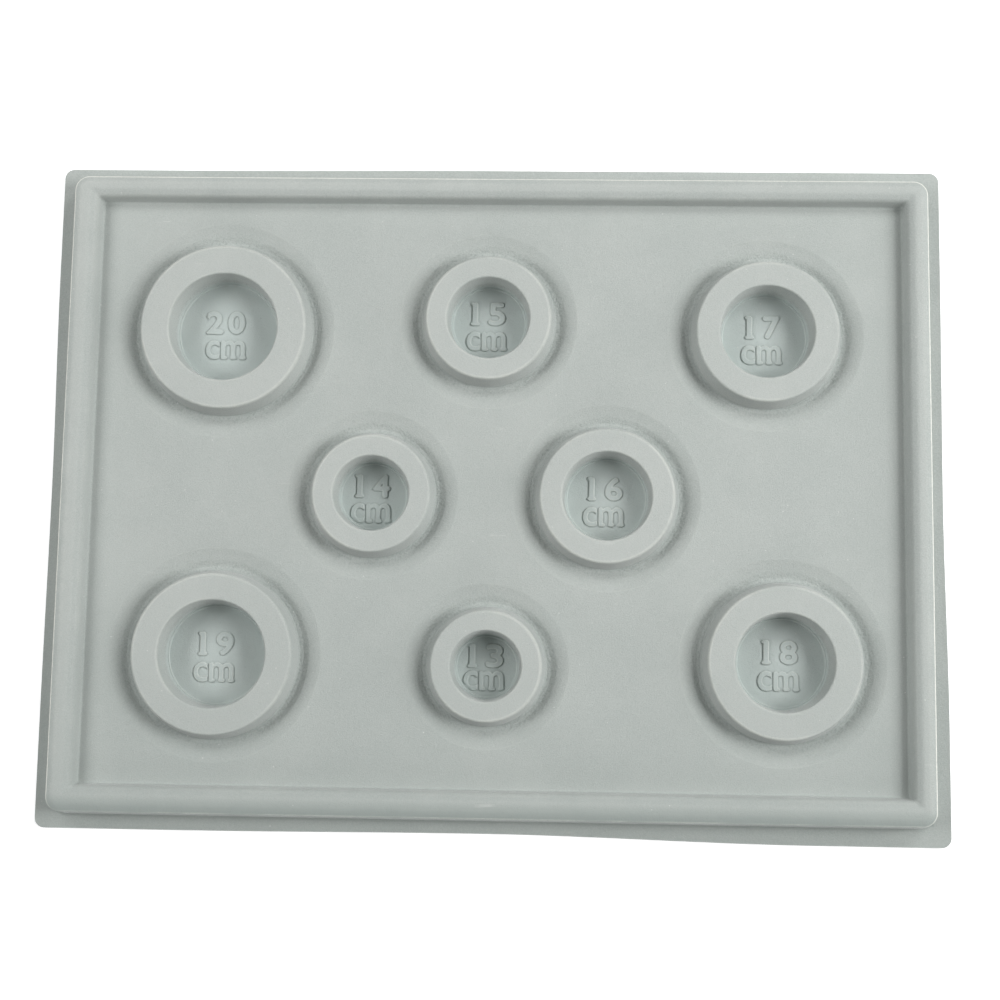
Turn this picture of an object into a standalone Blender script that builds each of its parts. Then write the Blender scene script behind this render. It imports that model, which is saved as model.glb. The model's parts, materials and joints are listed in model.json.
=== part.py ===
"""A flocked, vacuum-formed bead board for sizing bracelets, made in Blender.

The board is one thin plastic sheet drawn over a mould, with a coat of short fibres glued on its upper
face. A raised rim runs round a flat field. Eight round formers stand in the field, each in a groove of
its own: the outer edge of a former's top measures the bracelet size that is raised in its cup.

Units are metres, +Z is up, and the origin is under the middle of the board on the plane it rests on.
Every height below is that of the fibre coat's upper face, because that is the face a user measures.
"""

import math

import bmesh
import bpy
from mathutils import Vector

BOARD_NAME = "bracelet_bead_board"

# Driving dimensions
BOARD_WIDTH = 0.348
BOARD_DEPTH = 0.261
SHEET = 0.0009  # thickness of the formed plastic
BOND = 0.0001  # film of adhesive between the plastic and the fibres
PILE = 0.0005  # length of the fibres
CROWN_HEIGHT = 0.0142  # top of the rim and of the eight formers
FIELD_HEIGHT = 0.0072  # the flat field between them
GROOVE_HEIGHT = 0.0053  # bottom of the groove round a former
REST_HEIGHT = SHEET + BOND + PILE  # flange and cup floors, whose undersides meet the table

# Rim, measured inwards from the cut edge of the board
FLANGE_WIDTH = 0.0056
OUTER_WALL_INSET = 0.0071
CROWN_START_INSET = 0.0094
CROWN_END_INSET = 0.0130
INNER_WALL_INSET = 0.0158
FIELD_INSET = 0.0166
OUTER_DROP = 0.0009  # how far the crown falls towards its outer edge
INNER_DROP = 0.0014  # and towards the wall that faces the field
CUT_CORNER_RADIUS = 0.0038
RIM_CORNER_RADIUS = 0.0055  # of the outer wall
LEAST_CORNER_RADIUS = 0.0010

# Formers, measured outwards from the outer edge of the top, whose circumference is the bracelet size
FORMER_FOOT = 0.0020
GROOVE_INNER = 0.0028
GROOVE_OUTER = 0.0040
GROOVE_BEND = 0.0061  # where the groove's gentle slope turns steep
GROOVE_RIM = 0.0108
FOOT_RISE = 0.0008  # height taken up by the rounding between former and groove
BEND_RISE = 0.0009  # height taken up by the steep slope
CUP_DRAFT = 0.0015  # how much the cup narrows down to its floor

# Bracelet size in centimetres, centre of the former, radius of its cup
FORMERS = (
    (13, -0.0023, -0.0665, 0.0134),
    (14, -0.0475, -0.0012, 0.0145),
    (15, -0.0036, 0.0678, 0.0160),
    (16, 0.0430, -0.0012, 0.0171),
    (17, 0.1042, 0.0634, 0.0181),
    (18, 0.1103, -0.0635, 0.0187),
    (19, -0.1067, -0.0635, 0.0205),
    (20, -0.1068, 0.0633, 0.0211),
)

ROUND_SEGMENTS = 24
CORNER_SEGMENTS = 4
GHOST_RUN = 0.001  # level run added past each end of a profile, to find the mitre there
SAME_HEIGHT = 0.00001
SHARP_DEGREES = 30
PLASTIC_COLOUR = (0.36, 0.39, 0.38, 1.0)
FIBRE_COLOUR = (0.44, 0.49, 0.47, 1.0)


def clear_scene():
    for thing in list(bpy.data.objects):
        bpy.data.objects.remove(thing, do_unlink=True)


def new_collection(name):
    collection = bpy.data.collections.new(name)
    bpy.context.scene.collection.children.link(collection)
    return collection


def plain_material(name, colour, roughness):
    material = bpy.data.materials.new(name)
    material.use_nodes = True
    shader = material.node_tree.nodes["Principled BSDF"]
    shader.inputs["Base Color"].default_value = colour
    shader.inputs["Roughness"].default_value = roughness
    shader.inputs["Metallic"].default_value = 0.0
    return material


def sunk_profile(points, depth):
    """The profile moved into the sheet by depth, with a mitre at each corner.

    A point is (travel, height). The first and last runs are continued level, so that the profile
    still meets the flat faces on both sides of it.
    """
    first, last = points[0], points[-1]
    chain = [(first[0] - GHOST_RUN, first[1]), *points, (last[0] + GHOST_RUN, last[1])]
    sunk = []
    for before, here, after in zip(chain, chain[1:], chain[2:]):
        incoming = (Vector(here) - Vector(before)).normalized()
        outgoing = (Vector(after) - Vector(here)).normalized()
        normal_in = Vector((-incoming.y, incoming.x))
        normal_out = Vector((-outgoing.y, outgoing.x))
        mitre = (normal_in + normal_out) / (1.0 + normal_in.dot(normal_out))
        sunk.append(Vector(here) - depth * mitre)
    return sunk


def open_edges(bm, height):
    """The edges at this height that so far have a face on one side only."""
    return [
        edge
        for edge in bm.edges
        if edge.is_boundary and all(abs(end.co.z - height) < SAME_HEIGHT for end in edge.verts)
    ]


def rounded_rectangle(inset, radius, height):
    half_width = BOARD_WIDTH / 2 - inset - radius
    half_depth = BOARD_DEPTH / 2 - inset - radius
    points = []
    for corner, (side_x, side_y) in enumerate(((1, 1), (-1, 1), (-1, -1), (1, -1))):
        for step in range(CORNER_SEGMENTS + 1):
            angle = math.radians(90 * (corner + step / CORNER_SEGMENTS))
            points.append(
                (
                    side_x * half_width + radius * math.cos(angle),
                    side_y * half_depth + radius * math.sin(angle),
                    height,
                )
            )
    return points


def rim_profile():
    """(inset, height) from the cut edge over the rim to the field."""
    return [
        (0.0, REST_HEIGHT),
        (FLANGE_WIDTH, REST_HEIGHT),
        (OUTER_WALL_INSET, CROWN_HEIGHT - OUTER_DROP),
        (CROWN_START_INSET, CROWN_HEIGHT),
        (CROWN_END_INSET, CROWN_HEIGHT),
        (INNER_WALL_INSET, CROWN_HEIGHT - INNER_DROP),
        (FIELD_INSET, FIELD_HEIGHT),
    ]


def corner_radius(inset, is_cut_edge):
    if is_cut_edge:
        return CUT_CORNER_RADIUS
    return max(RIM_CORNER_RADIUS + OUTER_WALL_INSET - inset, LEAST_CORNER_RADIUS)


def add_rim(bm, depth):
    """The flange and the rim, lofted between rounded rectangles of different corner radius."""
    loops = []
    for index, (inset, height) in enumerate(sunk_profile(rim_profile(), depth)):
        radius = corner_radius(inset, is_cut_edge=index == 0)
        loops.append([bm.verts.new(point) for point in rounded_rectangle(inset, radius, height)])
    for outer, inner in zip(loops, loops[1:]):
        for corner in range(len(outer)):
            bm.faces.new((outer[corner - 1], outer[corner], inner[corner], inner[corner - 1]))


def former_profile(top_radius, cup_radius):
    """(-radius, height) from the field through the groove and over the former to the cup's floor."""
    return [
        (-(top_radius + GROOVE_RIM), FIELD_HEIGHT),
        (-(top_radius + GROOVE_BEND), GROOVE_HEIGHT + BEND_RISE),
        (-(top_radius + GROOVE_OUTER), GROOVE_HEIGHT),
        (-(top_radius + GROOVE_INNER), GROOVE_HEIGHT),
        (-(top_radius + FORMER_FOOT), GROOVE_HEIGHT + FOOT_RISE),
        (-top_radius, CROWN_HEIGHT),
        (-cup_radius, CROWN_HEIGHT),
        (-(cup_radius - CUP_DRAFT), REST_HEIGHT),
    ]


def add_former(bm, depth, size_cm, centre_x, centre_y, cup_radius):
    """A former in its groove, turned about its own axis, with the floor of its cup."""
    top_radius = size_cm / 100 / math.tau
    profile = sunk_profile(former_profile(top_radius, cup_radius), depth)
    corners = [bm.verts.new((centre_x - travel, centre_y, height)) for travel, height in profile]
    runs = [bm.edges.new(ends) for ends in zip(corners, corners[1:])]
    bmesh.ops.spin(
        bm,
        geom=corners + runs,
        cent=(centre_x, centre_y, 0),
        axis=(0, 0, 1),
        angle=math.tau,
        steps=ROUND_SEGMENTS,
        use_merge=True,
    )


def moulded_surface(depth):
    """The whole moulded surface at a depth below the fibres' tips, open at the board's cut edge."""
    bm = bmesh.new()
    for former in FORMERS:
        add_former(bm, depth, *former)
    bmesh.ops.holes_fill(bm, edges=open_edges(bm, REST_HEIGHT - depth), sides=ROUND_SEGMENTS)
    add_rim(bm, depth)
    field_edges = open_edges(bm, FIELD_HEIGHT - depth)
    bmesh.ops.triangle_fill(bm, use_beauty=True, edges=field_edges, normal=(0, 0, 1))
    mesh = bpy.data.meshes.new("moulded_surface")
    bm.to_mesh(mesh)
    bm.free()
    return mesh


def layer(collection, name, upper_depth, lower_depth, material):
    """One layer of the board as a closed solid between two depths."""
    bm = bmesh.new()
    for depth in (upper_depth, lower_depth):
        surface = moulded_surface(depth)
        bm.from_mesh(surface)
        bpy.data.meshes.remove(surface)
    cut_edges = [edge for edge in bm.edges if edge.is_boundary]
    bmesh.ops.bridge_loops(bm, edges=cut_edges)
    bmesh.ops.recalc_face_normals(bm, faces=bm.faces)
    if bm.calc_volume(signed=True) < 0:
        bmesh.ops.reverse_faces(bm, faces=bm.faces)
    mesh = bpy.data.meshes.new(name)
    bm.to_mesh(mesh)
    bm.free()
    mesh.shade_smooth()
    mesh.set_sharp_from_angle(angle=math.radians(SHARP_DEGREES))
    mesh.materials.append(material)
    made = bpy.data.objects.new(name, mesh)
    collection.objects.link(made)


def main():
    clear_scene()
    board = new_collection(BOARD_NAME)
    fibres = plain_material("fibre_coat", FIBRE_COLOUR, roughness=0.95)
    plastic = plain_material("formed_plastic", PLASTIC_COLOUR, roughness=0.45)
    layer(board, "flock_coat", 0.0, PILE, fibres)
    layer(board, "carrier_sheet", PILE + BOND, REST_HEIGHT, plastic)


main()
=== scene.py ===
"""The looks of a flocked, vacuum-formed bead board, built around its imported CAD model.

Two pieces replace the two CAD layers: the coat of short fibres that the eye sees, and the plastic
sheet under it. Both are made from the same moulded form, with every edge rounded as a formed sheet
rounds it, and with the bracelet size raised in the floor of each cup.

Lengths are metres in the row frame: +Z is up, and the board rests on z = 0.
"""

import json
import math

import bmesh
import bpy
import numpy as np
from mathutils import Matrix, Vector, geometry


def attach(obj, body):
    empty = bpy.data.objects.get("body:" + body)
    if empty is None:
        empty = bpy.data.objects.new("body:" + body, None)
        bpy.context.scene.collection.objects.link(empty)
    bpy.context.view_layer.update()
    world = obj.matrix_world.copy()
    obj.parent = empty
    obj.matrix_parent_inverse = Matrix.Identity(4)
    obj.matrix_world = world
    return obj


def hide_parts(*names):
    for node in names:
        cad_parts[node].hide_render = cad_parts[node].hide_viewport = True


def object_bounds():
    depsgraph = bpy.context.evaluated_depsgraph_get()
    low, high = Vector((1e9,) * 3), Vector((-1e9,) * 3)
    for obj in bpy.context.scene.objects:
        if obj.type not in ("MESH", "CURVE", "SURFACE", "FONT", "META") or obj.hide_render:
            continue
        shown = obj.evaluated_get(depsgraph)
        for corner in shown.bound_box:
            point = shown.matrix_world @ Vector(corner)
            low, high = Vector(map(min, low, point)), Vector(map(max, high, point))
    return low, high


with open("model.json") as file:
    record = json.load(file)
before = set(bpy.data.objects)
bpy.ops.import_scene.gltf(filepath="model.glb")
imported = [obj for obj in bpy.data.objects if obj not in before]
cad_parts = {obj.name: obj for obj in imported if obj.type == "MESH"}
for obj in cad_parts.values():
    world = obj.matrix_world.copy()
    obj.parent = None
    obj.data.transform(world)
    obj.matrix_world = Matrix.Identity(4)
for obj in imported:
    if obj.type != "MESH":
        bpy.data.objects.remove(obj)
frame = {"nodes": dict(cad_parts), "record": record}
CAD_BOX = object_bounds()

MM = 0.001

# The two layers, measured down from the face that the fibres show
PILE = 0.5 * MM
BOND = 0.1 * MM
SHEET = 0.9 * MM
REST_HEIGHT = PILE + BOND + SHEET

# Board, as the CAD has it
BOARD_WIDTH = CAD_BOX[1].x - CAD_BOX[0].x
BOARD_DEPTH = CAD_BOX[1].y - CAD_BOX[0].y
CROWN_HEIGHT = CAD_BOX[1].z
FIELD_HEIGHT = 7.2 * MM

# Rim: where its straight faces would meet, measured inwards from the cut edge, and its roundings
FLANGE_WIDTH = 5.6 * MM
RIM_OUTER_INSET = 7.1 * MM
RIM_OUTER_DROP = 0.9 * MM  # the crown falls by this much towards its outer edge
CROWN_OUTER_INSET = 9.4 * MM
CROWN_INNER_INSET = 13.0 * MM
RIM_INNER_INSET = 15.8 * MM
RIM_INNER_DROP = 1.4 * MM
FIELD_INSET = 16.6 * MM
RIM_FOOT_ROUND = 1.0 * MM
RIM_OUTER_ROUND = 0.6 * MM
CROWN_ROUND = 5.0 * MM
RIM_INNER_ROUND = 4.0 * MM
FIELD_ROUND = 1.0 * MM
CUT_CORNER_RADIUS = 3.8 * MM
RIM_CORNER_RADIUS = 12.6 * MM  # less the inset
LEAST_CORNER_RADIUS = 1.0 * MM
RIM_SHIFT = (-0.6 * MM, 0.0)  # the board was trimmed off centre by this
FIELD_SHIFT = (0.0, 0.8 * MM)  # and its field is off centre by this

# The cut edge was trimmed by hand, so each side strays from its straight line: by these lengths near
# one end, in the middle and near the other end, front to back or left to right.
TRIM_REACH = (120 * MM, 85 * MM)  # from the middle of a side to near its ends, along x and along y
TRIM_LEFT = (-0.8 * MM, -0.5 * MM, -1.4 * MM)
TRIM_RIGHT = (0.0, -1.1 * MM, -0.8 * MM)
TRIM_FRONT = (0.0, 0.8 * MM, -1.3 * MM)
TRIM_BACK = (-0.6 * MM, 0.0, 0.1 * MM)

# Formers: offsets from the outer edge of the top, and from the cup's edge
GROOVE_RIM = 10.8 * MM
GROOVE_RIM_ROUND = 1.8 * MM
GROOVE_BEND = 6.1 * MM  # the groove's gentle slope turns steep here
GROOVE_BEND_HEIGHT = 6.2 * MM
GROOVE_BEND_ROUND = 3.0 * MM
GROOVE_BOTTOM = 4.0 * MM  # and the steep slope turns level here
GROOVE_BOTTOM_HEIGHT = 5.4 * MM
GROOVE_BOTTOM_ROUND = 1.6 * MM
GROOVE_FOOT = 2.1 * MM  # the wall and the level bottom would meet here, under the rounding
GROOVE_FOOT_HEIGHT = 5.3 * MM
GROOVE_FOOT_ROUND = 1.3 * MM
TOP_SPREAD = 0.4 * MM  # the wall and the top would meet this far out, under the rounding
TOP_ROUND = 1.0 * MM
CUP_ROUND = 0.8 * MM
CUP_DRAFT = 1.1 * MM
CUP_FOOT_ROUND = 0.45 * MM
LEDGE_WIDTH = 0.7 * MM
LEDGE_DROP = 0.35 * MM
LEDGE_SLOPE = 0.2 * MM
LEAST_ROUND = 0.15 * MM
FIELD_RUN = 2.0 * MM  # level field that goes with the rim's profile and with a former's

# Size marks, in the floor of each cup
NUMBER_HEIGHT = 9.3 * MM
NUMBER_CENTRE = (-1.4 * MM, 4.15 * MM)
DIGIT_PITCH = 8.6 * MM
DIGIT_WIDTH = 6.9 * MM
STEM_WIDTH = 2.3 * MM  # of the figure 1
UNIT_HEIGHT = 7.7 * MM
UNIT_WIDTHS = (5.6 * MM, 9.7 * MM)  # the letters c and m
UNIT_GAP = 0.45 * MM
UNIT_CENTRE_X = -1.2 * MM
UNIT_DROP = 6.8 * MM
UNIT_CLEARANCE = 6.9 * MM  # in a small cup the unit keeps this far from the wall
BOLD = 0.42 * MM  # how far a figure's line stands outside its outline
UNIT_BOLD = 0.30 * MM
SLAB_HEIGHT = 1.4 * MM
SLAB_REACH = 0.7 * MM
UNIT_SLAB_REACH = 0.35 * MM
MARK_HEIGHT = 0.48 * MM
MARK_SLOPE = 0.36 * MM
MOAT_DEPTH = 0.16 * MM  # the sheet is drawn in round the foot of a mark
MOAT_WIDTH = 0.34 * MM
MARK_RUB_HIGHLIGHT = 0.45  # how far the edge of a mark is rubbed pale and lit by a painted highlight
MARK_RUB_HIGHLIGHT_WIDTH = 0.25 * MM
MARK_FADE = 0.5 * MM
CONTOUR_STEP = 0.42 * MM
CONTOUR_OFFSETS = (-0.52 * MM, -0.24 * MM, -0.08 * MM, 0.10 * MM, 0.30 * MM, 0.62 * MM)
CONTOUR_SLACK = 0.05 * MM
LEAST_SPACING = 0.11 * MM
FLOOR_GRID = 2.6 * MM
GRID_CLEARANCE = FLOOR_GRID / 3  # between the loose grid and a mark

# Meshing
LEVEL_RUN = 0.35 * MM  # a face stays straight for this long beside a rounding
REACH_SHARE = 0.4  # of a face, that one rounding may take up
LEVEL_SHARE = 0.08  # and the straight run beside it
GHOST_RUN = 1.0 * MM
SAME_HEIGHT = 0.01 * MM
CORNER_STEPS = 12
SIDE_STEPS = 24
FINE_AROUND = 84
COARSE_AROUND = 42
LEAST_ARC_STEPS = 2
ARC_STEPS = 5  # for each radian of a small rounding
ARC_RADIUS = 2 * MM  # a rounding much larger than this gets more
GLYPH_STEPS = 5
SHARP_DEGREES = 50
TINY_LENGTH = 1e-9
FILL_INSIDE = 1  # the triangulator's code for filling only the inside of the ring
FILL_SLACK = 1e-6


# ---------------------------------------------------------------- profiles


def sunk(corners, depth):
    """The corners moved into the sheet by depth, with a mitre at each."""
    first, last = corners[0], corners[-1]
    chain = [(first[0] - GHOST_RUN, first[1]), *corners, (last[0] + GHOST_RUN, last[1])]
    moved = []
    for before, here, after in zip(chain, chain[1:], chain[2:]):
        incoming = (Vector(here[:2]) - Vector(before[:2])).normalized()
        outgoing = (Vector(after[:2]) - Vector(here[:2])).normalized()
        normal_in = Vector((-incoming.y, incoming.x))
        normal_out = Vector((-outgoing.y, outgoing.x))
        mitre = (normal_in + normal_out) / (1.0 + normal_in.dot(normal_out))
        moved.append(Vector(here[:2]) - depth * mitre)
    return moved


def rounded(corners, depth, is_fine):
    """The profile at a depth as points of travel, height and tint, with its corners rounded.

    A corner is (travel, height, rounding, tint). Above 0, the tint is how much its rounding is rubbed
    pale and lit by a painted highlight;
    below 0, how far painted shade darkens its crease. Straight faces have none.
    """
    places = sunk(corners, depth)
    points = [(places[0].x, places[0].y, 0.0)]
    for index in range(1, len(places) - 1):
        here = places[index]
        before = here - places[index - 1]
        after = places[index + 1] - here
        incoming, outgoing = before.normalized(), after.normalized()
        side = math.copysign(1.0, incoming.x * outgoing.y - incoming.y * outgoing.x)
        turn = incoming.angle(outgoing)
        _, _, rounding, wear = corners[index]
        wanted = max(rounding + side * depth, LEAST_ROUND)
        limit = REACH_SHARE * min(before.length, after.length)
        reach = min(wanted * math.tan(turn / 2), limit)
        start = here - incoming * reach
        normal = Vector((-incoming.y, incoming.x)) * side
        radius = reach / math.tan(turn / 2)
        centre = start + normal * radius
        steps = LEAST_ARC_STEPS
        if is_fine:
            fine_steps = round(ARC_STEPS * turn * math.sqrt(1 + radius / ARC_RADIUS))
            steps = max(steps, fine_steps)
        arc = []
        for step in range(steps + 1):
            spoke = Matrix.Rotation(side * turn * step / steps, 2) @ (-normal * radius)
            arc.append((centre.x + spoke.x, centre.y + spoke.y, wear))
        if is_fine:
            lead = start - incoming * min(LEVEL_RUN, LEVEL_SHARE * before.length)
            tail = here + outgoing * (reach + min(LEVEL_RUN, LEVEL_SHARE * after.length))
            arc = [(lead.x, lead.y, 0.0), *arc, (tail.x, tail.y, 0.0)]
        points += arc
    points.append((places[-1].x, places[-1].y, 0.0))
    return points


def rim_corners():
    """From the cut edge over the rim to the field: inset, height, rounding, and tint (rubbed pale with
    a painted highlight above 0, painted shade below 0).
    """
    return [
        (0.0, REST_HEIGHT, 0.0, 0.0),
        (FLANGE_WIDTH, REST_HEIGHT, RIM_FOOT_ROUND, -1.0),
        (RIM_OUTER_INSET, CROWN_HEIGHT - RIM_OUTER_DROP, RIM_OUTER_ROUND, 1.0),
        (CROWN_OUTER_INSET, CROWN_HEIGHT, CROWN_ROUND, 0.05),
        (CROWN_INNER_INSET, CROWN_HEIGHT, CROWN_ROUND, 0.0),
        (RIM_INNER_INSET, CROWN_HEIGHT - RIM_INNER_DROP, RIM_INNER_ROUND, 0.05),
        (FIELD_INSET, FIELD_HEIGHT, FIELD_ROUND, 0.0),
        (FIELD_INSET + FIELD_RUN, FIELD_HEIGHT, 0.0, 0.0),
    ]


def former_corners(top_radius, cup_radius):
    """From the field through the groove, over the former and into the cup, with -radius as travel."""
    foot = cup_radius - CUP_DRAFT
    step = foot - LEDGE_WIDTH
    # the fourth value is the tint: rubbed pale with a painted highlight above 0, painted shade in the
    # crease below 0
    return [
        (-(top_radius + GROOVE_RIM + FIELD_RUN), FIELD_HEIGHT, 0.0, 0.0),
        (-(top_radius + GROOVE_RIM), FIELD_HEIGHT, GROOVE_RIM_ROUND, 0.05),
        (-(top_radius + GROOVE_BEND), GROOVE_BEND_HEIGHT, GROOVE_BEND_ROUND, 0.0),
        (-(top_radius + GROOVE_BOTTOM), GROOVE_BOTTOM_HEIGHT, GROOVE_BOTTOM_ROUND, -0.3),
        (-(top_radius + GROOVE_FOOT), GROOVE_FOOT_HEIGHT, GROOVE_FOOT_ROUND, -0.8),
        (-(top_radius + TOP_SPREAD), CROWN_HEIGHT, TOP_ROUND, 0.24),
        (-cup_radius, CROWN_HEIGHT, CUP_ROUND, 0.12),
        (-foot, REST_HEIGHT + LEDGE_DROP, CUP_FOOT_ROUND, -0.4),
        (-step, REST_HEIGHT + LEDGE_DROP, LEAST_ROUND, 0.3),
        (-(step - LEDGE_SLOPE), REST_HEIGHT, LEAST_ROUND, -0.4),
        (-(step - LEDGE_SLOPE - LEVEL_RUN), REST_HEIGHT, 0.0, 0.0),
    ]


# ---------------------------------------------------------------- size marks


def glyph(character):
    """The outline of one character as segments, shape (n, 2, 2), in a box from (0, 0) to (1, 1)."""
    text = bpy.data.curves.new("glyph", "FONT")
    text.body = character
    text.resolution_u = GLYPH_STEPS
    holder = bpy.data.objects.new("glyph", text)
    bpy.context.scene.collection.objects.link(holder)
    filled = holder.evaluated_get(bpy.context.evaluated_depsgraph_get()).to_mesh()
    places = np.array([vertex.co[:2] for vertex in filled.vertices])
    uses = {}
    for face in filled.polygons:
        for edge in face.edge_keys:
            uses[edge] = uses.get(edge, 0) + 1
    segments = np.array([places[list(edge)] for edge, count in uses.items() if count == 1])
    bpy.data.objects.remove(holder)
    bpy.data.curves.remove(text)
    low = segments.min(axis=(0, 1))
    high = segments.max(axis=(0, 1))
    return (segments - low) / (high - low)


def placed(segments, centre, width, height, bold):
    """A glyph scaled to a box about centre, less the margin that its bold line fills.

    A shape is its outline's segments, and how far outside them its line stands.
    """
    size = np.array((width, height)) - 2 * bold
    return (segments - 0.5) * size + np.array(centre), bold


def slab(centre, width, bold):
    """A low bar across the foot or head of a stroke, as a shape."""
    half = np.array((width, SLAB_HEIGHT)) / 2 - bold
    corners = np.array(centre) + half * np.array(((-1, -1), (1, -1), (1, 1), (-1, 1)))
    return np.stack((corners, np.roll(corners, -1, axis=0)), axis=1), bold


def inside_distance(points, segments):
    """Distance from a closed outline, positive inside it."""
    start, run = segments[:, 0], segments[:, 1] - segments[:, 0]
    away = points[:, None, :] - start
    share = np.clip((away * run).sum(2) / np.maximum((run * run).sum(1), TINY_LENGTH**2), 0, 1)
    distance = np.linalg.norm(away - share[..., None] * run, axis=2).min(axis=1)
    y = points[:, None, 1]
    spans = (segments[:, 0, 1] > y) != (segments[:, 1, 1] > y)
    climb = np.where(run[:, 1] == 0, 1.0, run[:, 1])
    crossing = start[:, 0] + run[:, 0] * (y - start[:, 1]) / climb
    is_inside = (spans & (points[:, None, 0] < crossing)).sum(axis=1) % 2 == 1
    return np.where(is_inside, distance, -distance)


def mark_distance(points, shapes):
    """Distance from the edge of a mark made of several shapes, positive on the mark."""
    return np.max([inside_distance(points, segments) + bold for segments, bold in shapes], axis=0)


def digit_shapes(digit, centre):
    """One figure of the size, with slabs at the head and foot of a 1."""
    if digit != "1":
        return [placed(glyph(digit), centre, DIGIT_WIDTH, NUMBER_HEIGHT, BOLD)]
    x, y = centre
    rise = (NUMBER_HEIGHT - SLAB_HEIGHT) / 2
    return [
        placed(glyph(digit), centre, STEM_WIDTH, NUMBER_HEIGHT, BOLD),
        slab((x, y - rise), STEM_WIDTH + 2 * SLAB_REACH, BOLD),
        slab((x - SLAB_REACH, y + rise), STEM_WIDTH, BOLD),
    ]


def unit_shapes(centre):
    """The letters cm, with slabs under the m."""
    x, y = centre
    wide_c, wide_m = UNIT_WIDTHS
    left = x - (wide_c + UNIT_GAP + wide_m) / 2
    middle_m = left + wide_c + UNIT_GAP + wide_m / 2
    foot = y - (UNIT_HEIGHT - SLAB_HEIGHT) / 2
    shapes = [
        placed(glyph("c"), (left + wide_c / 2, y), wide_c, UNIT_HEIGHT, UNIT_BOLD),
        placed(glyph("m"), (middle_m, y), wide_m, UNIT_HEIGHT, UNIT_BOLD),
    ]
    for side in (-1, 0, 1):
        leg = middle_m + side * (wide_m - STEM_WIDTH) / 2
        shapes.append(slab((leg + UNIT_SLAB_REACH / 2, foot), STEM_WIDTH + UNIT_SLAB_REACH, UNIT_BOLD))
    return shapes


def mark_shapes(size_cm, floor_radius):
    """The whole mark of one cup: the size, and the unit under it."""
    tens, ones = str(size_cm)
    x, y = NUMBER_CENTRE
    drop = min(UNIT_DROP, floor_radius - UNIT_CLEARANCE)
    return [
        *digit_shapes(tens, (x - DIGIT_PITCH / 2, y)),
        *digit_shapes(ones, (x + DIGIT_PITCH / 2, y)),
        *unit_shapes((UNIT_CENTRE_X, -drop)),
    ]


def contour_points(shapes):
    """Points along lines beside the marks' outlines, close enough together to carry their slopes."""
    candidates, offsets = [], []
    for segments, bold in shapes:
        run = segments[:, 1] - segments[:, 0]
        length = np.linalg.norm(run, axis=1)
        normal = np.stack((run[:, 1], -run[:, 0]), axis=1) / np.maximum(length, TINY_LENGTH)[:, None]
        middle = segments.mean(axis=1) + normal * CONTOUR_SLACK
        normal[inside_distance(middle, segments) > 0] *= -1
        for index, spacing in enumerate(length):
            count = max(1, math.ceil(spacing / CONTOUR_STEP))
            shares = (np.arange(count) + 0.5) / count
            along = segments[index, 0] + shares[:, None] * run[index]
            for offset in CONTOUR_OFFSETS:
                candidates.append(along + normal[index] * (bold + offset))
                offsets.append(np.full(count, offset))
    candidates = np.concatenate(candidates)
    offsets = np.concatenate(offsets)
    error = np.abs(mark_distance(candidates, shapes) + offsets)
    kept = candidates[error < CONTOUR_SLACK]
    cells = np.round(kept / LEAST_SPACING).astype(int)
    first = np.unique(cells, axis=0, return_index=True)[1]
    return kept[np.sort(first)]


def floor_points(shapes, floor_radius):
    """All points inside a cup's floor: the marks' contours, and a loose grid elsewhere."""
    steps = np.arange(-floor_radius, floor_radius, FLOOR_GRID)
    grid = np.stack(np.meshgrid(steps, steps), axis=-1).reshape(-1, 2)
    grid = grid[mark_distance(grid, shapes) < -GRID_CLEARANCE]
    points = np.concatenate((contour_points(shapes), grid))
    return points[np.linalg.norm(points, axis=1) < floor_radius - LEAST_SPACING]


def smooth_step(share):
    share = np.clip(share, 0.0, 1.0)
    return share * share * (3 - 2 * share)


def mark_relief(points, shapes, floor_radius):
    """Height of the marks over the floor, and their tint: edges rubbed pale and lit by a painted
    highlight, painted shade in the moat round each foot; both fade out at the floor's edge.
    """
    distance = mark_distance(points, shapes)
    edge = smooth_step((floor_radius - np.linalg.norm(points, axis=1)) / MARK_FADE)
    step = smooth_step(distance / MARK_SLOPE + 0.5)
    moat = smooth_step(1 - np.abs(distance + MARK_SLOPE / 2) / MOAT_WIDTH)
    mark_rub_and_highlight = smooth_step(1 - np.abs(distance - MARK_SLOPE / 2) / MARK_RUB_HIGHLIGHT_WIDTH)
    return (MARK_HEIGHT * step - MOAT_DEPTH * moat) * edge, (MARK_RUB_HIGHLIGHT * mark_rub_and_highlight - moat) * edge


# ---------------------------------------------------------------- moulded form


def formers():
    """(size in cm, centre, top radius, cup radius) of each former, read from the CAD model."""
    crown = [
        vertex.co for vertex in frame["nodes"]["flock_coat"].data.vertices
        if vertex.co.z > CROWN_HEIGHT - SAME_HEIGHT
    ]
    found = []
    for opening in frame["record"]["physics"]["openings"]:
        name = opening["name"]
        if not name.startswith("cup_"):
            continue
        size_cm = int(name[len("cup_"):-len("cm")])
        low, high = opening["box_m"]
        centre = Vector(((low[0] + high[0]) / 2, (low[1] + high[1]) / 2))
        cup_radius = min((point.xy - centre).length for point in crown)
        found.append((size_cm, centre, size_cm / 100 / math.tau, cup_radius))
    return found


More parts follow.
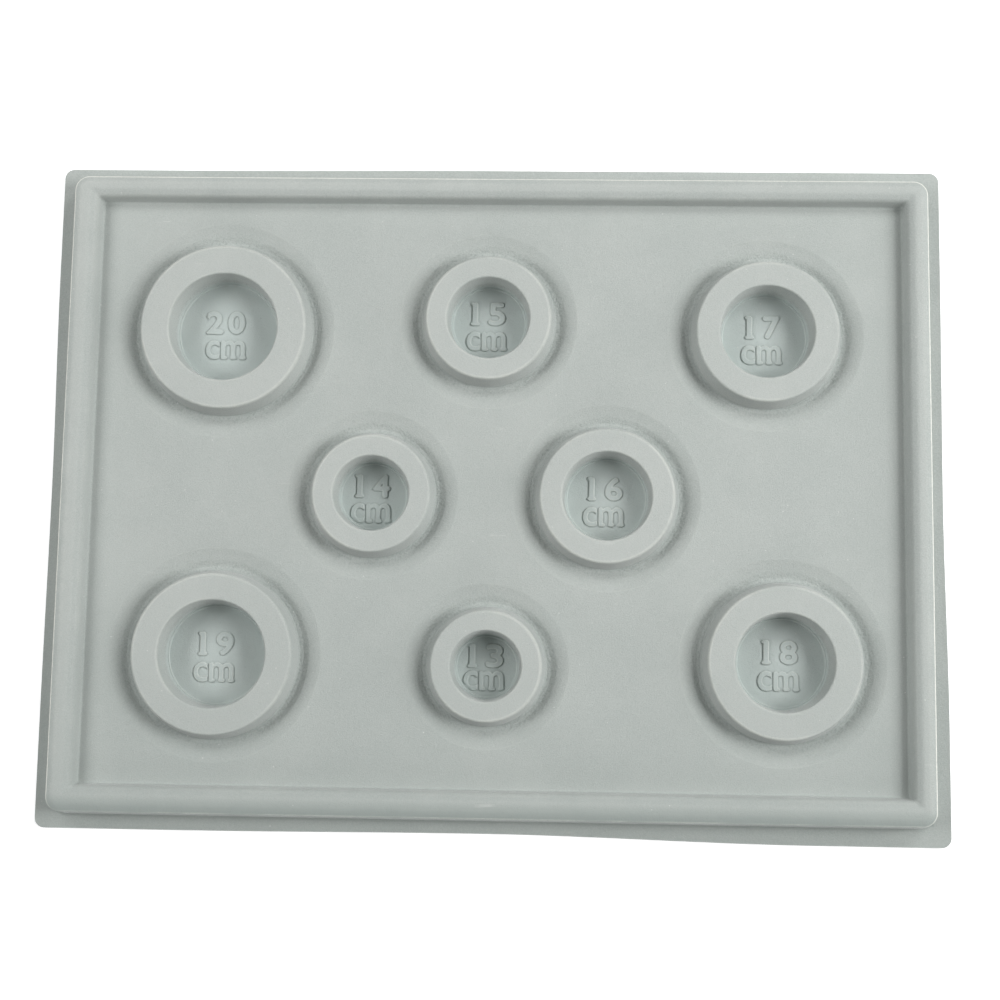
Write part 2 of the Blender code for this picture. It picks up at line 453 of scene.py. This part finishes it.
class MouldedFace:
    """One face of the form, at a depth below the fibres' tips, as an open mesh."""

    def __init__(self, depth, is_fine):
        self.mesh = bmesh.new()
        # each vertex's tint: rubbed pale with a painted highlight above 0, painted shade below 0
        self.wear = self.mesh.verts.layers.float.new("wear")
        self.depth = depth
        self.is_fine = is_fine

    def loop(self, points, wear):
        made = []
        for point in points:
            vertex = self.mesh.verts.new(point)
            vertex[self.wear] = wear
            made.append(vertex)
        return made

    def loft(self, loops):
        for outer, inner in zip(loops, loops[1:]):
            for index in range(len(outer)):
                corners = (outer[index - 1], outer[index], inner[index], inner[index - 1])
                self.mesh.faces.new(corners)

    def add_rim(self):
        loops = []
        for inset, height, wear in rounded(rim_corners(), self.depth, self.is_fine):
            loops.append(self.loop(rounded_rectangle(inset, height), wear))
        self.loft(loops)
        return loops[-1]

    def add_former(self, size_cm, centre, top_radius, cup_radius):
        around = FINE_AROUND if self.is_fine else COARSE_AROUND
        turns = [math.tau * step / around for step in range(around)]
        corners = former_corners(top_radius, cup_radius)
        loops = []
        for travel, height, wear in rounded(corners, self.depth, self.is_fine):
            ring = [
                (centre.x - travel * math.cos(turn), centre.y - travel * math.sin(turn), height)
                for turn in turns
            ]
            loops.append(self.loop(ring, wear))
        self.loft(loops)
        self.add_floor(loops[-1], centre, mark_shapes(size_cm, cup_radius - CUP_DRAFT))
        return loops[0]

    def add_floor(self, edge, centre, shapes):
        """Fills a cup's floor, with its mark where the face is a fine one."""
        if not self.is_fine:
            self.mesh.faces.new(edge)
            return
        floor_radius = (edge[0].co.xy - centre).length
        height = edge[0].co.z
        inner = floor_points(shapes, floor_radius)
        relief, rub_highlight_shades = mark_relief(inner, shapes, floor_radius)
        flat = [vertex.co.xy - centre for vertex in edge] + [Vector(point) for point in inner]
        scaled = [point / MM for point in flat]
        ring = [list(range(len(edge)))]
        filled = geometry.delaunay_2d_cdt(scaled, [], ring, FILL_INSIDE, FILL_SLACK)
        faces, sources = filled[2:4]
        corners = list(edge)
        for point, rise, wear in zip(inner, relief, rub_highlight_shades):
            place = (centre.x + point[0], centre.y + point[1], max(height + rise, 0.0))
            vertex = self.mesh.verts.new(place)
            vertex[self.wear] = wear
            corners.append(vertex)
        for face in faces:
            self.mesh.faces.new([corners[sources[corner][0]] for corner in face])

    def add_field(self, loops):
        edges = []
        for loop in loops:
            for index in range(len(loop)):
                edges.append(self.mesh.edges.get((loop[index - 1], loop[index])))
        bmesh.ops.triangle_fill(self.mesh, use_beauty=True, edges=edges, normal=(0, 0, 1))

    def build(self):
        loops = [self.add_former(*former) for former in formers()]
        loops.append(self.add_rim())
        self.add_field(loops)
        made = bpy.data.meshes.new("moulded_face")
        self.mesh.to_mesh(made)
        self.mesh.free()
        return made


def centre_shift(inset):
    """How far the outline at this inset lies off the board's centre."""
    if inset < FLANGE_WIDTH / 2:
        return Vector((0.0, 0.0))
    share = (inset - CROWN_OUTER_INSET) / (CROWN_INNER_INSET - CROWN_OUTER_INSET)
    return Vector(RIM_SHIFT).lerp(Vector(FIELD_SHIFT), min(max(share, 0.0), 1.0))


def stray(place, reach, strays):
    """How far a side strays at a place along it, joining its three strays smoothly."""
    end = strays[2] if place > 0 else strays[0]
    return strays[1] + (end - strays[1]) * smooth_step(abs(place) / reach)


def trimmed(point):
    """A point of the cut edge, moved by how far the trimming strays there."""
    across = 0.5 + point.x / BOARD_WIDTH
    along = 0.5 + point.y / BOARD_DEPTH
    left, right = (stray(point.y, TRIM_REACH[1], side) for side in (TRIM_LEFT, TRIM_RIGHT))
    front, back = (stray(point.x, TRIM_REACH[0], side) for side in (TRIM_FRONT, TRIM_BACK))
    return point + Vector((left + (right - left) * across, front + (back - front) * along, 0.0))


def rounded_rectangle(inset, height):
    """The board's outline at an inset, with extra points along its sides."""
    if inset <= 0.0:
        radius = CUT_CORNER_RADIUS
    else:
        radius = max(RIM_CORNER_RADIUS - inset, LEAST_CORNER_RADIUS)
    half = (BOARD_WIDTH / 2 - inset - radius, BOARD_DEPTH / 2 - inset - radius)
    shift = centre_shift(inset)
    points = []
    quarters = ((1, 1), (-1, 1), (-1, -1), (1, -1))
    for quarter, (side_x, side_y) in enumerate(quarters):
        for step in range(CORNER_STEPS + 1):
            angle = math.radians(90 * (quarter + step / CORNER_STEPS))
            x = shift.x + side_x * half[0] + radius * math.cos(angle)
            y = shift.y + side_y * half[1] + radius * math.sin(angle)
            points.append(Vector((x, y, height)))
        next_x, next_y = quarters[(quarter + 1) % 4]
        angle = math.radians(90 * (quarter + 1))
        target = Vector((
            shift.x + next_x * half[0] + radius * math.cos(angle),
            shift.y + next_y * half[1] + radius * math.sin(angle),
            height,
        ))
        begin = points[-1]
        points += [begin.lerp(target, step / SIDE_STEPS) for step in range(1, SIDE_STEPS)]
    return [trimmed(point) for point in points] if inset <= 0.0 else points


def layer(name, upper_depth, lower_depth, fine_depth, material):
    """One layer as a closed body between two depths; the face at fine_depth is the one that shows."""
    body = bmesh.new()
    for depth in (upper_depth, lower_depth):
        face = MouldedFace(depth, depth == fine_depth).build()
        body.from_mesh(face)
        bpy.data.meshes.remove(face)
    cut_edges = [edge for edge in body.edges if edge.is_boundary]
    bmesh.ops.bridge_loops(body, edges=cut_edges)
    bmesh.ops.recalc_face_normals(body, faces=body.faces)
    if body.calc_volume(signed=True) < 0:
        bmesh.ops.reverse_faces(body, faces=body.faces)
    mesh = bpy.data.meshes.new(name)
    body.to_mesh(mesh)
    body.free()
    mesh.shade_smooth()
    mesh.set_sharp_from_angle(angle=math.radians(SHARP_DEGREES))
    mesh.materials.append(material)
    piece = bpy.data.objects.new(name, mesh)
    bpy.context.scene.collection.objects.link(piece)
    return piece


# ---------------------------------------------------------------- materials


class Nodes:
    """Short calls for building one material's node tree."""

    def __init__(self, name):
        self.material = bpy.data.materials.new(name)
        self.material.use_nodes = True
        self.tree = self.material.node_tree
        self.shader = self.tree.nodes["Principled BSDF"]
        self.place = self.tree.nodes.new("ShaderNodeTexCoord").outputs["Object"]

    def link(self, value, socket):
        if isinstance(value, bpy.types.NodeSocket):
            self.tree.links.new(value, socket)
        else:
            socket.default_value = value

    def noise(self, size, detail=2.0, roughness=0.5, place=None):
        node = self.tree.nodes.new("ShaderNodeTexNoise")
        self.link(place or self.place, node.inputs["Vector"])
        node.inputs["Scale"].default_value = 1.0 / size
        node.inputs["Detail"].default_value = detail
        node.inputs["Roughness"].default_value = roughness
        return node.outputs["Fac"]

    def math(self, operation, first, second=0.5):
        node = self.tree.nodes.new("ShaderNodeMath")
        node.operation = operation
        self.link(first, node.inputs[0])
        self.link(second, node.inputs[1])
        return node.outputs[0]

    def span(self, value, low, high, to_low=0.0, to_high=1.0):
        node = self.tree.nodes.new("ShaderNodeMapRange")
        node.interpolation_type = "SMOOTHSTEP"
        self.link(value, node.inputs["Value"])
        self.link(low, node.inputs["From Min"])
        self.link(high, node.inputs["From Max"])
        self.link(to_low, node.inputs["To Min"])
        self.link(to_high, node.inputs["To Max"])
        return node.outputs[0]

    def mix(self, share, first, second):
        node = self.tree.nodes.new("ShaderNodeMix")
        node.data_type = "RGBA"
        self.link(share, node.inputs[0])
        self.link(first, node.inputs[6])
        self.link(second, node.inputs[7])
        return node.outputs[2]

    def place_axes(self, *axes):
        """The surface's place along each of these axes."""
        node = self.tree.nodes.new("ShaderNodeSeparateXYZ")
        self.link(self.place, node.inputs[0])
        return [node.outputs[axis] for axis in axes]

    def inside(self, half_width, half_depth):
        """1 where the surface lies inside this rectangle, 0 outside it."""
        x, y = self.place_axes("X", "Y")
        beyond_x = self.math("SUBTRACT", self.math("ABSOLUTE", x), half_width)
        beyond_y = self.math("SUBTRACT", self.math("ABSOLUTE", y), half_depth)
        return self.span(self.math("MAXIMUM", beyond_x, beyond_y), MASK_FADE, 0.0)

    def stretched(self, scale, turn):
        """The surface's place turned about the vertical, then scaled along each axis."""
        node = self.tree.nodes.new("ShaderNodeMapping")
        node.inputs["Rotation"].default_value = (0.0, 0.0, turn)
        node.inputs["Scale"].default_value = scale
        self.link(self.place, node.inputs["Vector"])
        return node.outputs["Vector"]

    def specks(self, colour, spacing, share):
        """The colour with sparse pale specks of lint, at most one in each cell."""
        node = self.tree.nodes.new("ShaderNodeTexVoronoi")
        self.link(self.place, node.inputs["Vector"])
        node.inputs["Scale"].default_value = 1.0 / spacing
        return self.mix(self.span(node.outputs["Distance"], share, share * 0.6), colour, FIBRE_PALE)

    def bump(self, height, distance, strength, normal=None):
        node = self.tree.nodes.new("ShaderNodeBump")
        self.link(strength, node.inputs["Strength"])
        node.inputs["Distance"].default_value = distance
        self.link(height, node.inputs["Height"])
        if normal:
            self.link(normal, node.inputs["Normal"])
        return node.outputs["Normal"]

    def attribute(self, name):
        node = self.tree.nodes.new("ShaderNodeAttribute")
        node.attribute_name = name
        return node.outputs["Fac"]


FIBRE_COLOUR = (0.400, 0.432, 0.414, 1.0)
FIBRE_DARK = (0.300, 0.335, 0.318, 1.0)
FIBRE_PALE = (0.560, 0.580, 0.555, 1.0)
# painted light: the coat's colour low in the cups
FIBRE_CUP_LIGHT = (0.490, 0.548, 0.531, 1.0)
# the colour of edges rubbed pale and lit by a painted highlight
FIBRE_RUB_HIGHLIGHT = (0.720, 0.730, 0.670, 1.0)
GRAIN_SIZE = 0.42 * MM  # single fibres' tips
TUFT_SIZE = 0.85 * MM
CLUMP_SIZE = 1.3 * MM
PATCH_SIZE = 30 * MM
STREAK_SIZE = 2.2 * MM
STREAK_STRETCH = (0.12, 1.0, 1.0)
STREAK_TURN = 0.5
SPECK_SPACING = 7 * MM
SPECK_SHARE = 0.045  # of that spacing
GRAIN_BUMP = 0.20 * MM
TUFT_BUMP = 0.35 * MM
CLUMP_BUMP = 0.22 * MM
MASK_FADE = 1.0 * MM
CUP_LIGHT_HEIGHTS = (1.8 * MM, 6.0 * MM)  # painted light lifts the coat below the first, fading out by the second
WORN_HEIGHTS = (13.9 * MM, 14.2 * MM)
GROOVE_BAND_HEIGHTS = (2.6 * MM, 3.6 * MM, 5.4 * MM, 7.0 * MM)  # the pile stands rough in the grooves, where dark tufts also paint shade
FRONT_SHADE_SPAN = (-150 * MM, 10 * MM)  # painted shade: the coat darkens towards the front
RIM_FRONT_SHADE_SPAN = (-122 * MM, -116 * MM)  # and painted shade is darkest along the front of the rim
FRONT_EDGE_DIMMING = (-126 * MM, -116 * MM)  # painted shade: the pale edge line dims towards the front of the rim

PLASTIC_DULL = (0.34, 0.37, 0.36, 1.0)
PLASTIC_PALE = (0.38, 0.41, 0.40, 1.0)
PEEL_SIZE = 1.6 * MM
PEEL_BUMP = 0.05 * MM
HAZE_SIZE = 22 * MM


def flock_material():
    """Dense short pile: matt and finely grained, with proud edges rubbed pale and lit by a painted
    highlight, painted light in the cups, and painted shade towards the front, in creases and in the
    grooves.
    """
    nodes = Nodes("flock")
    shader = nodes.shader
    shader.inputs["Specular IOR Level"].default_value = 0.12
    shader.inputs["Sheen Weight"].default_value = 0.32
    shader.inputs["Sheen Roughness"].default_value = 0.45

    grain = nodes.noise(GRAIN_SIZE, detail=3.0, roughness=0.7)
    tufts = nodes.noise(TUFT_SIZE, detail=2.0, roughness=0.6)
    clumps = nodes.noise(CLUMP_SIZE, detail=3.0, roughness=0.6)
    patches = nodes.noise(PATCH_SIZE, detail=5.0, roughness=0.6)
    wear = nodes.attribute("wear")
    front, height = nodes.place_axes("Y", "Z")
    on_board = nodes.inside(BOARD_WIDTH / 2 - RIM_OUTER_INSET, BOARD_DEPTH / 2 - RIM_OUTER_INSET)
    low, low_end, high_start, high = GROOVE_BAND_HEIGHTS
    above = nodes.span(height, low, low_end)
    below = nodes.span(height, high, high_start)
    groove_band = nodes.math("MULTIPLY", above, below)

    tone = nodes.mix(nodes.span(grain, 0.30, 0.70), FIBRE_DARK, FIBRE_PALE)
    colour = nodes.mix(0.34, FIBRE_COLOUR, tone)
    # painted light in the cups
    cup_light = nodes.math("MULTIPLY", nodes.span(height, *CUP_LIGHT_HEIGHTS, 0.85, 0.0), on_board)
    colour = nodes.mix(cup_light, colour, FIBRE_CUP_LIGHT)
    colour = nodes.mix(nodes.span(patches, 0.35, 0.70, 0.0, 0.16), colour, FIBRE_PALE)
    colour = nodes.mix(nodes.span(clumps, 0.62, 0.80, 0.0, 0.30), colour, FIBRE_DARK)
    colour = nodes.mix(nodes.span(height, *WORN_HEIGHTS, 0.0, 0.20), colour, FIBRE_PALE)
    # painted shade towards the front
    colour = nodes.mix(nodes.span(front, *FRONT_SHADE_SPAN, 0.30, 0.0), colour, FIBRE_DARK)
    # painted shade along the front of the rim
    rim_front_shade = nodes.math("MULTIPLY", nodes.span(front, *RIM_FRONT_SHADE_SPAN, 1.0, 0.0), on_board)
    colour = nodes.mix(rim_front_shade, colour, FIBRE_DARK)
    # painted shade: dark tufts in the grooves
    shaded = nodes.math("MULTIPLY", groove_band, nodes.span(tufts, 0.50, 0.68, 0.0, 0.60))
    colour = nodes.mix(shaded, colour, FIBRE_DARK)

    # proud edges rubbed pale and lit by a painted highlight, dimmed at the front by painted shade
    proud = nodes.math("MAXIMUM", wear, 0.0)
    edge = nodes.math("MULTIPLY", proud, nodes.span(front, *FRONT_EDGE_DIMMING, 0.1, 1.0))
    edge = nodes.math("MULTIPLY", edge, nodes.span(patches, 0.40, 0.56, edge, 1.0))
    edge_rub_and_highlight = nodes.math("MULTIPLY", edge, nodes.span(clumps, 0.25, 0.60, 0.55, 1.0))
    colour = nodes.mix(edge_rub_and_highlight, colour, FIBRE_RUB_HIGHLIGHT)
    # painted shade in the creases, at the feet of walls and in the moats round the marks
    sunk_share = nodes.math("MAXIMUM", nodes.math("MULTIPLY", wear, -1.0), 0.0)
    colour = nodes.mix(nodes.math("MULTIPLY", sunk_share, 0.30), colour, FIBRE_DARK)

    streaks = nodes.noise(STREAK_SIZE, place=nodes.stretched(STREAK_STRETCH, STREAK_TURN))
    scuffs = nodes.math("MULTIPLY", nodes.span(streaks, 0.70, 0.78), nodes.span(patches, 0.50, 0.62))
    colour = nodes.mix(nodes.math("MULTIPLY", scuffs, 0.5), colour, FIBRE_PALE)
    nodes.link(nodes.specks(colour, SPECK_SPACING, SPECK_SHARE), shader.inputs["Base Color"])
    nodes.link(nodes.span(grain, 0.2, 0.8, 0.85, 1.0), shader.inputs["Roughness"])

    normal = nodes.bump(clumps, CLUMP_BUMP, nodes.span(sunk_share, 0.0, 1.0, 0.55, 1.0))
    normal = nodes.bump(tufts, TUFT_BUMP, groove_band, normal)
    normal = nodes.bump(grain, GRAIN_BUMP, 0.9, normal)
    nodes.link(normal, shader.inputs["Normal"])
    return nodes.material


def plastic_material():
    """Bare formed polystyrene: satin, with faint orange peel."""
    nodes = Nodes("formed_plastic")
    shader = nodes.shader
    shader.inputs["Specular IOR Level"].default_value = 0.45
    peel = nodes.noise(PEEL_SIZE)
    haze = nodes.noise(HAZE_SIZE, detail=3.0)
    colour = nodes.mix(nodes.span(haze, 0.3, 0.7), PLASTIC_DULL, PLASTIC_PALE)
    nodes.link(colour, shader.inputs["Base Color"])
    nodes.link(nodes.span(haze, 0.3, 0.7, 0.36, 0.50), shader.inputs["Roughness"])
    nodes.link(nodes.bump(peel, PEEL_BUMP, 0.5), shader.inputs["Normal"])
    return nodes.material


# ---------------------------------------------------------------- surroundings


CAMERA_PLACE = (21.3 * MM, -77.8 * MM, 624.8 * MM)
CAMERA_TURN = (0.1217, 0.0294, 0.0165)
SENSOR_WIDTH = 36.0
FOCAL_LENGTH = 58.07

SOFTBOX_DISTANCE = 1.5
SOFTBOX_SIZE = 0.6
SOFTBOXES = (  # name, azimuth, elevation, power in watts
    ("key_right", 0, 42, 13.8),
    ("low_right", 0, 22, 5.3),
    ("back_right", 45, 42, 7.1),
    ("fill_left", 180, 42, 9.5),
    ("back_left", 135, 42, 5.0),
    ("low_front", 270, 22, 3.3),
)
ROOM_LIGHT = 0.02
WHITE = (1.0, 1.0, 1.0, 1.0)
TABLE_REACH = 4.0
TABLE_COLOUR = (0.92, 0.92, 0.92, 1.0)
TABLE_GLOW = 0.4  # the table is a white light table


def add_camera():
    camera = bpy.data.cameras.new("photo_angle")
    camera.sensor_width = SENSOR_WIDTH
    camera.lens = FOCAL_LENGTH
    holder = bpy.data.objects.new("photo_angle", camera)
    holder.location = CAMERA_PLACE
    holder.rotation_euler = CAMERA_TURN
    bpy.context.scene.collection.objects.link(holder)
    bpy.context.scene.camera = holder


def add_softbox(name, azimuth, elevation, power):
    """A square softbox that faces the board, placed by its direction in degrees."""
    light = bpy.data.lights.new(name, "AREA")
    light.size = SOFTBOX_SIZE
    light.energy = power
    turn, rise = math.radians(azimuth), math.radians(elevation)
    across = math.cos(rise)
    place = Vector((across * math.cos(turn), across * math.sin(turn), math.sin(rise)))
    holder = bpy.data.objects.new(name, light)
    holder.location = SOFTBOX_DISTANCE * place
    holder.rotation_euler = (-place).to_track_quat("-Z", "Y").to_euler()
    bpy.context.scene.collection.objects.link(holder)


def add_lights():
    for softbox in SOFTBOXES:
        add_softbox(*softbox)
    world = bpy.data.worlds.new("studio")
    world.use_nodes = True
    background = world.node_tree.nodes["Background"]
    background.inputs["Color"].default_value = WHITE
    background.inputs["Strength"].default_value = ROOM_LIGHT
    bpy.context.scene.world = world


def add_floor():
    mesh = bpy.data.meshes.new("floor")
    quarters = ((-1, -1), (1, -1), (1, 1), (-1, 1))
    corners = [(side_x * TABLE_REACH, side_y * TABLE_REACH, 0.0) for side_x, side_y in quarters]
    mesh.from_pydata(corners, [], [(0, 1, 2, 3)])
    nodes = Nodes("white_table")
    nodes.shader.inputs["Roughness"].default_value = 0.8
    nodes.shader.inputs["Base Color"].default_value = TABLE_COLOUR
    nodes.shader.inputs["Emission Color"].default_value = WHITE
    nodes.shader.inputs["Emission Strength"].default_value = TABLE_GLOW
    mesh.materials.append(nodes.material)
    floor = bpy.data.objects.new("floor", mesh)
    bpy.context.scene.collection.objects.link(floor)


def main():
    bpy.context.scene.view_settings.view_transform = "Standard"
    add_camera()
    add_lights()
    add_floor()

    flock = layer("flock_skin", 0.0, PILE, 0.0, flock_material())
    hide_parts("flock_coat")
    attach(flock, "root")

    sheet = layer("formed_sheet", PILE + BOND, REST_HEIGHT, REST_HEIGHT, plastic_material())
    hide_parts("carrier_sheet")
    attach(sheet, "root")


main()
